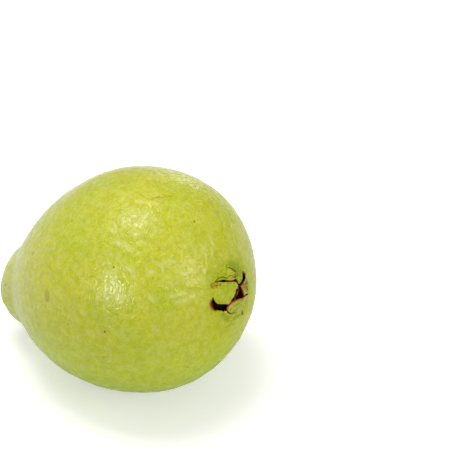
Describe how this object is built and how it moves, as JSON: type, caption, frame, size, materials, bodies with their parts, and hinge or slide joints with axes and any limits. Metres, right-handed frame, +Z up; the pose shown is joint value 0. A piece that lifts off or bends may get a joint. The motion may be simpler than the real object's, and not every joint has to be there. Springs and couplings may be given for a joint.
{
  "type": "guava",
  "caption": "Green pear-shaped guava lying on its side, with a short thick neck, a crown of dried sepals at the blossom end and a woody stalk stub.",
  "frame": {"origin": "middle of the small flat spot on the belly that the fruit rests on", "axes": "+Z up; +X along the fruit towards its blossom end, which points a little upwards; +Y to the left when looking along +X"},
  "size_m": [0.084, 0.0685, 0.0692],
  "materials": {
    "skin": "waxy, finely mottled yellow-green fruit skin",
    "sepal": "green dried sepal with red-brown rims",
    "dried_disc": "matt dried dark red-brown tissue",
    "stalk_wood": "rough broken wood"
  },
  "bodies": {
    "root": {"fruit": "skin", "sepal_front": "sepal", "sepal_top": "sepal", "sepal_top_back": "sepal", "sepal_back": "sepal", "sepal_bottom": "sepal", "floral_disc": "dried_disc", "stalk_stub": "stalk_wood"}
  },
  "joints": []
}
